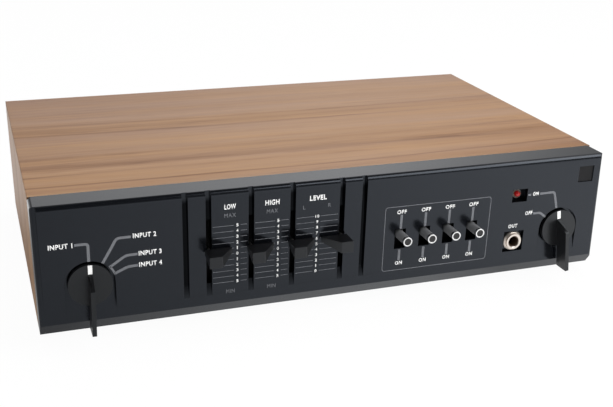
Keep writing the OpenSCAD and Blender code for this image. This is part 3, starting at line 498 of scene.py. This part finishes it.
def lens(name, colour):
    """Tinted lamp body that glows faintly"""
    skin = Finish(name, {"Roughness": 0.08, "Specular IOR Level": 0.6, "Emission Strength": 0.35})
    depth = skin.noise(700, detail=2)
    skin.set("Base Color", skin.mix(depth, scaled(colour, 0.7), colour))
    skin.set("Emission Color", skin.mix(depth, scaled(colour, 0.5), colour))
    return skin.material


def laminate(name, colour, spot):
    """Board, of paper laminate or plain wood, with a faint weave and stains"""
    skin = Finish(name, {"Specular IOR Level": 0.4})
    weave = skin.noise(900, (1, 0.2, 1), detail=2)
    stain = skin.noise(60, detail=4).beyond(0.5, 4)
    paper = skin.mix(weave, scaled(colour, 0.8), colour)
    skin.set("Base Color", skin.mix(stain * 0.4, paper, spot))
    skin.set("Roughness", 0.45 + weave * 0.2)
    skin.relief(weave, 0.2, 0.00005)
    return skin.material


def wound(name, colour):
    """Varnished winding: turns of wire side by side"""
    skin = Finish(name, {"Metallic": 0.7})
    turns = skin.wire("ShaderNodeTexWave", {"wave_type": "BANDS", "bands_direction": "Z"},
                      {"Vector": skin.place(), "Scale": 420.0, "Distortion": 0.6, "Detail": 1.0}, output=1)
    skin.set("Base Color", skin.mix(turns, scaled(colour, 0.45), colour))
    skin.set("Roughness", 0.5 - turns * 0.18)
    skin.relief(turns, 0.6, 0.0002)
    return skin.material


def stacked(name, colour):
    """Iron laminations stacked front to back, with a dull varnish"""
    skin = Finish(name, {"Metallic": 0.6})
    sheets = skin.wire("ShaderNodeTexWave", {"wave_type": "BANDS", "bands_direction": "Y"},
                       {"Vector": skin.place(), "Scale": 300.0, "Distortion": 0.2, "Detail": 1.0}, output=1)
    rust = skin.noise(140, detail=5, roughness=0.7).beyond(0.6, 6)
    iron = skin.mix(sheets, scaled(colour, 0.6), colour)
    skin.set("Base Color", skin.mix(rust * 0.5, iron, (0.10, 0.045, 0.02)))
    skin.set("Roughness", 0.55 + rust * 0.2)
    skin.relief(sheets, 0.4, 0.0002)
    return skin.material


def dress(material, *names):
    """Gives CAD nodes a finish"""
    for name in names:
        mesh = NODES[name].data
        mesh.materials.clear()
        mesh.materials.append(material)


def ease(radius, *names):
    """Rounds the edges of CAD nodes by modifiers, which leave the nodes' own meshes as they are"""
    for name in names:
        node = NODES[name]
        weld = node.modifiers.new("seams", "WELD")
        weld.merge_threshold = 1e-6
        bevel = node.modifiers.new("edges", "BEVEL")
        bevel.width = radius
        bevel.segments = 3
        bevel.limit_method = "ANGLE"
        bevel.angle_limit = math.radians(28)
        bevel.use_clamp_overlap = True
        bevel.harden_normals = True


def curved(points, radius, closed=False):
    """A path with its corners rounded"""
    count = len(points)
    path = []
    for i, point in enumerate(points):
        if not closed and i in (0, count - 1):
            path.append(point)
            continue
        here, before, after = Vector(point), Vector(points[i - 1]), Vector(points[(i + 1) % count])
        start = here + (before - here).normalized() * min(radius, (before - here).length / 2)
        end = here + (after - here).normalized() * min(radius, (after - here).length / 2)
        for step in range(CORNER_STEPS + 1):
            t = step / CORNER_STEPS
            path.append(tuple(start * (1 - t) ** 2 + here * (2 * t * (1 - t)) + end * t ** 2))
    return path


class Print:
    """Marks printed on the leaning face, measured from its left end and the cabinet's bottom in mm"""

    def __init__(self, name, material):
        self.name = name
        self.material = material
        self.mesh = bmesh.new()
        size = sizes()
        self.foot = size.tile_foot
        self.slope = face_slope()
        self.lift = size.ink_lift
        self.thick = size.ink_thickness

    def spot(self, x, z, out):
        """A point over the face, given in mm along it and out of it in metres"""
        rise = max((z * MM - self.foot) * self.slope, LAND)
        return Vector((LEFT + x * MM, FRONT + sizes().tile_rise - rise - out, BOTTOM + z * MM))

    def plate(self, corners):
        """A flat patch of ink with a closed edge, its corners anticlockwise seen from the front"""
        near = [self.mesh.verts.new(self.spot(x, z, self.lift + self.thick)) for x, z in corners]
        far = [self.mesh.verts.new(self.spot(x, z, self.lift)) for x, z in corners]
        self.mesh.faces.new(near)
        self.mesh.faces.new(far[::-1])
        for i in range(len(corners)):
            j = (i + 1) % len(corners)
            self.mesh.faces.new((near[j], near[i], far[i], far[j]))

    def line(self, points, width, closed=False):
        """A line of even width through points, mitred where it turns"""
        pts = [Vector(p) for p in points]
        count = len(pts)
        sides = []
        for i, p in enumerate(pts):
            before = pts[i - 1] if i or closed else None
            after = pts[(i + 1) % count] if i < count - 1 or closed else None
            d0 = (p - before).normalized() if before is not None else None
            d1 = (after - p).normalized() if after is not None else None
            d0, d1 = d0 or d1, d1 or d0
            n0, n1 = Vector((-d0.y, d0.x)), Vector((-d1.y, d1.x))
            across = (n0 + n1).normalized()
            reach = width / 2 / max(0.3, across.dot(n0))
            sides.append((p + across * reach, p - across * reach))
        last = count if closed else count - 1
        for i in range(last):
            a, b = sides[i], sides[(i + 1) % count]
            self.plate([a[0], a[1], b[1], b[0]])

    def words(self, text, left, right, middle, height, weight=0.0):
        """Letters fitted between two sides, centred on a height"""
        curve = bpy.data.curves.new("letters", "FONT")
        curve.body = text
        curve.size = 1.0
        curve.offset = weight
        curve.space_character = 1.12
        curve.resolution_u = 3
        holder = bpy.data.objects.new("letters", curve)
        bpy.context.scene.collection.objects.link(holder)
        bpy.context.view_layer.update()
        flat = bpy.data.meshes.new_from_object(holder.evaluated_get(bpy.context.evaluated_depsgraph_get()))
        bpy.data.objects.remove(holder)
        bpy.data.curves.remove(curve)
        xs = [v.co.x for v in flat.vertices]
        ys = [v.co.y for v in flat.vertices]
        x0, y0 = min(xs), min(ys)
        kx = (right - left) / (max(xs) - x0)
        ky = height / (max(ys) - y0)
        letters = bmesh.new()
        letters.from_mesh(flat)
        bpy.data.meshes.remove(flat)
        bmesh.ops.remove_doubles(letters, verts=letters.verts, dist=1e-5)
        made = bmesh.ops.extrude_face_region(letters, geom=letters.faces[:])
        top = {v for v in made["geom"] if isinstance(v, bmesh.types.BMVert)}
        for v in letters.verts:
            x, z = left + (v.co.x - x0) * kx, middle - height / 2 + (v.co.y - y0) * ky
            v.co = self.spot(x, z, self.lift + (self.thick if v in top else 0.0))
        bmesh.ops.recalc_face_normals(letters, faces=letters.faces)
        joined = bpy.data.meshes.new("letters")
        letters.to_mesh(joined)
        letters.free()
        self.mesh.from_mesh(joined)
        bpy.data.meshes.remove(joined)

    def finish(self, slot="mark_white"):
        """Makes the marks a piece that rides on the cabinet"""
        mesh = bpy.data.meshes.new(self.name)
        self.mesh.to_mesh(mesh)
        self.mesh.free()
        piece = bpy.data.objects.new(self.name, mesh)
        bpy.context.scene.collection.objects.link(piece)
        mesh.materials.append(self.material)
        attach(piece, "cabinet")


class AMPLIFIER_OT_sleeve(bpy.types.Operator):
    """Veneers the sleeve"""
    bl_idname = "amplifier.sleeve"
    bl_label = "Veneered sleeve"

    def execute(self, context):
        dress(veneer("veneer_top", "X"), "cabinet_top")
        dress(veneer("veneer_side", "Z"), "cabinet_side_left", "cabinet_side_right")
        dress(laminate("batten_wood", (0.5, 0.34, 0.18), (0.36, 0.22, 0.11)), "side_battens")
        return {"FINISHED"}


class AMPLIFIER_OT_fascia(bpy.types.Operator):
    """Finishes the moulded fascia"""
    bl_idname = "amplifier.fascia"
    bl_label = "Moulded fascia"

    def execute(self, context):
        # The grooves and the source recess of the fascia get painted shade
        dress(moulded("fascia_satin", tones().moulding, 0.15, 0.00015, grain=0.25, cast=(0.79, 0.87, 1.0),
                      painted_shade=grooves), "fascia")
        return {"FINISHED"}


class AMPLIFIER_OT_controls(bpy.types.Operator):
    """Finishes the knobs, levers, pointers, tangs and rings"""
    bl_idname = "amplifier.controls"
    bl_label = "Knobs and levers"

    def execute(self, context):
        sliders = ("bass", "treble", "volume_left", "volume_right")
        levers = ("stereo", "loudness", "rumble", "scratch")
        knobs = [n + "_knob" for n in ("source", "power", *sliders)]
        dress(moulded("knob_satin", tones().knob, 0.27, 0.0, grain=0.4, cast=(0.9, 0.95, 1.0)), *knobs)
        ease(sizes().edge_round, *knobs)
        dress(moulded("lever_satin", tones().lever, 0.36, 0.0002, grain=0.4, front=(0.012, 0.012, 0.013)),
              *[n + "_lever" for n in levers])
        dress(plated("ring_bright", (0.9, 0.9, 0.9), 0.16), *[n + "_ring" for n in levers])
        ease(0.12 * MM, *[n + "_ring" for n in levers])
        dress(plated("tang_steel", (0.62, 0.62, 0.62), 0.3, (1, 0.1, 1)), *[n + "_tang" for n in sliders],
              "source_shaft", "power_shaft")
        dress(ink("pointer_white", tones().ink_white, 0.2), "source_pointer", "power_pointer")
        return {"FINISHED"}


class AMPLIFIER_OT_fittings(bpy.types.Operator):
    """Finishes the lamp, the jack, the feet and the rear panel's sockets"""
    bl_idname = "amplifier.fittings"
    bl_label = "Lamp, jack, feet and sockets"

    def execute(self, context):
        dress(lens("lamp_red", tones().lamp), "power_lamp")
        dress(moulded("lamp_collar", (0.13, 0.095, 0.075), 0.40, 0.0001), "lamp_holder")
        dress(plated("nut_nickel", (0.70, 0.63, 0.57), 0.36), "jack_nut")
        dress(bushing("jack_nickel", (0.74, 0.67, 0.61), 0.36), "headphone_jack")
        dress(rubber("foot_rubber"), "feet", "mains_grommet")
        dress(plated("zinc_screws", (0.66, 0.66, 0.64), 0.3), "foot_screws", "base_screws", "panel_screws",
              "switch_nuts")
        dress(painted("rear_paint", (0.035, 0.036, 0.038)), "rear_panel")
        dress(plated("socket_nickel", (0.78, 0.78, 0.76), 0.22), "input_sockets")
        dress(moulded("socket_moulding", (0.014, 0.014, 0.014), 0.42, 0.0003), "speaker_sockets",
              "fuse_holder")
        return {"FINISHED"}


class AMPLIFIER_OT_inside(bpy.types.Operator):
    """Finishes the chassis and what it carries"""
    bl_idname = "amplifier.inside"
    bl_label = "Chassis and inside"

    def execute(self, context):
        dress(plated("zinc_sheet", (0.64, 0.65, 0.66), 0.36, (1, 0.25, 1)), "chassis_tray",
              "transformer_clamp", "capacitor_clip")
        dress(stacked("core_laminations", (0.13, 0.13, 0.14)), "transformer_core")
        dress(wound("coil_copper", (0.60, 0.25, 0.09)), "transformer_coil")
        dress(painted("can_sleeve", (0.05, 0.15, 0.32)), "smoothing_capacitor", "board_capacitors")
        dress(laminate("board_laminate", (0.30, 0.19, 0.07), (0.16, 0.09, 0.03)), "amplifier_board",
              "socket_strip", "source_switch")
        dress(plated("sink_alloy", (0.72, 0.73, 0.74), 0.34, (1, 1, 0.1)), "heatsink")
        dress(moulded("case_black", (0.016, 0.016, 0.017), 0.45, 0.0002), "power_transistors",
              "slide_switches", "power_switch")
        # The pots are black; the bracket behind the slots is black as painted shade for the dark inside the
        # slots
        dress(moulded("slots_painted_shade", (0.012, 0.012, 0.013), 0.5, 0.0, sheen=0.25), "slide_pots",
              "control_bracket")
        dress(moulded("standoff_nylon", (0.72, 0.71, 0.66), 0.45, 0.0002), "board_standoffs")
        return {"FINISHED"}


class AMPLIFIER_OT_marks(bpy.types.Operator):
    """Prints the scales, leaders and words on the face, and fills the square recess with a plain plate"""
    bl_idname = "amplifier.marks"
    bl_label = "Printed marks"

    def execute(self, context):
        white = Print("print_white", ink("ink_white", tones().ink_white, 0.25))
        grey = Print("print_grey", ink("ink_grey", tones().ink_grey, 0.35))
        self.source(white, grey)
        self.sliders(white, grey)
        self.switches(white, grey)
        self.power(white, grey)
        white.finish()
        grey.finish()
        plate = Print("recess_plate", ink("plate_matt", (0.004, 0.004, 0.005), 0.3))
        plate.lift, plate.thick = -0.7 * MM, 0.1 * MM
        plate.plate(((341.5, 61.7), (351.9, 61.7), (351.9, 72.1), (341.5, 72.1)))
        plate.finish("fascia_black")
        return {"FINISHED"}

    def source(self, white, grey):
        wide, tall = 13.0, 3.0
        for i, (x, z) in enumerate(((20.8 - wide, 55.7), (53.75, 57.6), (56.5, 46.5), (56.5, 39.4))):
            white.words("INPUT %d" % (i + 1), x, x + wide, z, tall, BOLD)
        leaders = (((21.8, 55.7), (29.1, 55.7), (29.0, 44.8)),
                   ((36.4, 42.8), (44.7, 57.2), (52.7, 57.3)),
                   ((40.0, 39.8), (49.4, 46.1), (56.0, 46.25)),
                   ((42.9, 35.7), (50.3, 39.0), (56.0, 39.2)))
        for path in leaders:
            grey.line(curved(path, 1.8), LEADER)
        grey.line(((40.2, 40.4), (41.8, 38.0), (43.0, 35.4)), 1.2)

    def sliders(self, white, grey):
        title_row, top_row, foot_row = 69.4, 64.0, 15.1
        first, step = 57.5, 3.62
        # Slot on the left, numbers, slot on the right, title, its middle and half its width
        banks = ((96.8, 113.6, 122.0, "LOW", 109.4, 3.4, True),
                 (122.0, 138.25, 147.2, "HIGH", 134.5, 4.3, True),
                 (147.2, 162.4, 178.0, "LEVEL", 162.6, 5.2, False))
        for left, column, right, title, centre, half, tone in banks:
            white.words(title, centre - half, centre + half, title_row, TITLE, BOLD)
            middle = (left + right) / 2
            if tone:
                grey.words("MAX", middle - 3.4, middle + 3.4, top_row, 2.5)
                grey.words("MIN", middle - 2.6, middle + 2.6, foot_row, NOTE)
            else:
                grey.words("L", 153.4, 154.9, top_row, NOTE)
                grey.words("R", 169.0, 170.8, top_row, NOTE)
            for i in range(11):
                z = first - i * step
                number = abs(5 - i) if tone else 10 - i
                wide = 0.3 if number == 1 else 0.66 if number < 10 else 1.2
                white.words(str(number), column - wide, column + wide, z, NUMERAL, BOLD)
                grey.line(((left + 2.3, z), (column - 1.9, z)), HAIRLINE)
                grey.line(((column + 2.0, z), (right - 2.6, z)), HAIRLINE)

    def switches(self, white, grey):
        left, step = 217.3, 16.37
        for i in range(4):
            x = left + i * step
            white.words("OFF", x - 3.2, x + 3.2, 54.2, LEGEND, BOLD)
            grey.line(((x, 52.3), (x, 42.8)), LEADER)
            grey.line(((x, 28.8), (x, 21.3)), LEADER)
            white.words("ON", x - 2.4, x + 2.4, 19.5, LEGEND, BOLD)
        x0, x1, z0, z1 = 206.4, 278.5, 14.8, 57.9
        grey.line(curved(((x1, z0), (x1, z1), (x0, z1), (x0, z0)), 2.0, closed=True), 0.4, closed=True)

    def power(self, white, grey):
        white.words("ON", 308.6, 312.7, 56.7, LEGEND, BOLD)
        white.words("OFF", 304.6, 309.8, 43.6, LEGEND, BOLD)
        white.words("OUT", 293.2, 299.8, 35.5, LEGEND, BOLD)
        grey.line(((305.25, 56.3), (307.3, 56.35)), 1.4)
        grey.line(curved(((313.75, 56.4), (324.6, 56.4), (327.7, 44.8)), 1.8), 1.5)
        grey.line(curved(((310.7, 42.8), (315.6, 42.9), (320.0, 39.4)), 1.5), 1.5)


class AMPLIFIER_OT_stage(bpy.types.Operator):
    """Sets the floor, the lamps and the camera"""
    bl_idname = "amplifier.stage"
    bl_label = "Studio"

    def execute(self, context):
        self.floor(context)
        self.backdrop(context)
        self.lamps(context)
        self.camera(context)
        context.scene.view_settings.view_transform = "Standard"
        return {"FINISHED"}

    def floor(self, context):
        mesh = bpy.data.meshes.new("floor")
        shape = bmesh.new()
        bmesh.ops.create_grid(shape, x_segments=1, y_segments=1, size=4.0)
        shape.to_mesh(mesh)
        shape.free()
        floor = bpy.data.objects.new("floor", mesh)
        context.scene.collection.objects.link(floor)
        skin = Finish("floor_white", {"Base Color": (0.86, 0.86, 0.86), "Roughness": 0.9,
                                      "Specular IOR Level": 0.1})
        camera, mirrored = skin.rays()
        # Seen in the gloss, the floor in front is lit more towards the right, and unevenly below the front
        across, depth = skin.axis("X") + 0.5, skin.axis("Y") + 0.5
        ahead = skin.ramp(across, (0.28, 0.36), (0.50, 0.68), (0.72, 1.0))
        below = skin.ramp(across, (0.32, 0.27), (0.44, 0.72), (0.56, 0.86), (0.62, 0.55), (0.68, 0.66))
        slope = skin.mix(skin.ramp(depth, (0.385, 0.0), (0.393, 1.0)), ahead, below)
        behind = skin.ramp(depth, (0.50, 0.16), (0.57, 0.28), (0.67, 1.0))
        slope = skin.mix(skin.ramp(depth, (0.45, 0.0), (0.50, 1.0)), slope, behind)
        glow = skin.node("ShaderNodeEmission", None, {"Color": (1, 1, 1), "Strength": 1.0}).outputs[0]
        shine = skin.node("ShaderNodeEmission", None, {"Color": slope, "Strength": 1.32}).outputs[0]
        bright = skin.either(mirrored, glow, shine)
        # A little of the lit floor stays, so that it keeps the object's shadow
        lit = skin.either(camera * 0.96 + mirrored * 0.9, skin.shader.outputs[0], bright)
        skin.feed(skin.find("OUTPUT_MATERIAL").inputs["Surface"], lit)
        mesh.materials.append(skin.material)

    def backdrop(self, context):
        """White behind the object, bright in gloss from behind and dim from the front"""
        world = bpy.data.worlds.new("studio")
        context.scene.world = world
        sky = Tree(world)
        plain = sky.find("BACKGROUND")
        sky.feed(plain.inputs["Color"], (1, 1, 1))
        sky.feed(plain.inputs["Strength"], 0.5)
        white = sky.node("ShaderNodeBackground", None, {"Color": (1, 1, 1), "Strength": 1.0}).outputs[0]
        coords = sky.node("ShaderNodeTexCoord").outputs["Generated"]
        toward = sky.wire("ShaderNodeVectorMath", {"operation": "DOT_PRODUCT"},
                          {0: coords, 1: (-0.62, 0.78, 0.0)}, output="Value")
        level = sky.ramp(toward, (0.10, 0.11), (0.26, 0.32), (0.48, 1.0), (0.69, 0.74))
        aside, height = sky.part(coords, "X"), sky.part(coords, "Z")
        # The bright wall behind ends lower on the left, and a dim band lies along the horizon
        wall = sky.ramp(height - aside * 1.4 + 0.5, (0.81, 1.0), (0.91, 0.28))
        level = sky.mix(1.0, level, wall, "MULTIPLY")
        band = sky.ramp(height, (0.0, 0.55), (0.16, 0.50), (0.29, 0.0))
        level = sky.mix(1.0, level, band, "LIGHTEN")
        # A bright panel high on the right lights the rounded edges at that end
        right = sky.ramp(aside, (0.40, 0.0), (0.58, 1.0))
        high = sky.ramp(height, (0.55, 0.0), (0.68, 1.0))
        level = sky.mix(1.0, level, sky.mix(1.0, right, high, "MULTIPLY"), "LIGHTEN")
        sheen = sky.node("ShaderNodeBackground", None, {"Color": level, "Strength": 1.25}).outputs[0]
        camera, mirrored = sky.rays()
        lit = sky.either(camera, sky.either(mirrored, plain.outputs[0], sheen), white)
        sky.feed(sky.find("OUTPUT_WORLD").inputs["Surface"], lit)

    def lamps(self, context):
        def soft(name, place, aim, size, power, mirrored=True):
            lamp = bpy.data.lights.new(name, "AREA")
            lamp.shape = "RECTANGLE"
            lamp.size, lamp.size_y = size
            lamp.energy = power
            holder = bpy.data.objects.new(name, lamp)
            holder.location = place
            holder.rotation_euler = (Vector(aim) - Vector(place)).to_track_quat("-Z", "Y").to_euler()
            holder.visible_glossy = mirrored
            context.scene.collection.objects.link(holder)

        soft("key", (0.75, -0.55, 1.05), (0.05, 0, 0.05), (1.1, 0.8), 9)
        soft("over", (0.3, 0.35, 1.6), (0.05, 0, 0.05), (1.6, 1.2), 12.5, mirrored=False)
        soft("fill", (-1.3, -0.1, 0.35), (-0.18, 0, 0.04), (0.9, 0.6), 4)
        soft("side", (1.05, -0.55, 0.36), (0.05, -0.12, 0.05), (0.5, 0.5), 10, mirrored=False)

    def camera(self, context):
        size = sizes()
        yaw, pitch, roll = (math.radians(a) for a in size.camera_turn)
        right = Vector((math.cos(yaw), math.sin(yaw), 0))
        level = Vector((-math.sin(yaw), math.cos(yaw), 0))
        up = Vector((0, 0, 1))
        ahead = math.cos(pitch) * level + math.sin(pitch) * up
        over = -math.sin(pitch) * level + math.cos(pitch) * up
        axis_x = math.cos(roll) * right + math.sin(roll) * over
        axis_y = -math.sin(roll) * right + math.cos(roll) * over
        camera = bpy.data.cameras.new("camera")
        camera.sensor_width = SENSOR
        camera.lens = size.focal_pixels / PICTURE * SENSOR
        camera.shift_x, camera.shift_y = size.camera_shift
        camera.dof.use_dof = False
        holder = bpy.data.objects.new("camera", camera)
        turn = Matrix((axis_x, axis_y, -ahead)).transposed().to_4x4()
        holder.matrix_world = Matrix.Translation(size.camera_place) @ turn
        context.scene.collection.objects.link(holder)
        context.scene.camera = holder


class AMPLIFIER_PT_panel(bpy.types.Panel):
    """Shows the amplifier's sizes, tones and steps"""
    bl_idname = "AMPLIFIER_PT_panel"
    bl_label = "Amplifier"
    bl_space_type = "VIEW_3D"
    bl_region_type = "UI"
    bl_category = "Amplifier"

    def draw(self, context):
        for group in (context.scene.amplifier_sizes, context.scene.amplifier_tones):
            for name in group.__annotations__:
                self.layout.prop(group, name)
        for operator in STEPS:
            self.layout.operator(operator.bl_idname)


STEPS = (AMPLIFIER_OT_sleeve, AMPLIFIER_OT_fascia, AMPLIFIER_OT_controls, AMPLIFIER_OT_fittings,
         AMPLIFIER_OT_inside, AMPLIFIER_OT_marks, AMPLIFIER_OT_stage)
CLASSES = (AmplifierSizes, AmplifierTones, *STEPS, AMPLIFIER_PT_panel)


def register():
    for item in CLASSES:
        bpy.utils.register_class(item)
    bpy.types.Scene.amplifier_sizes = bpy.props.PointerProperty(type=AmplifierSizes)
    bpy.types.Scene.amplifier_tones = bpy.props.PointerProperty(type=AmplifierTones)


def unregister():
    del bpy.types.Scene.amplifier_sizes
    del bpy.types.Scene.amplifier_tones
    for item in reversed(CLASSES):
        bpy.utils.unregister_class(item)


def main():
    register()
    for step in STEPS:
        group, name = step.bl_idname.split(".")
        getattr(getattr(bpy.ops, group), name)()


if __name__ == "__main__":
    main()
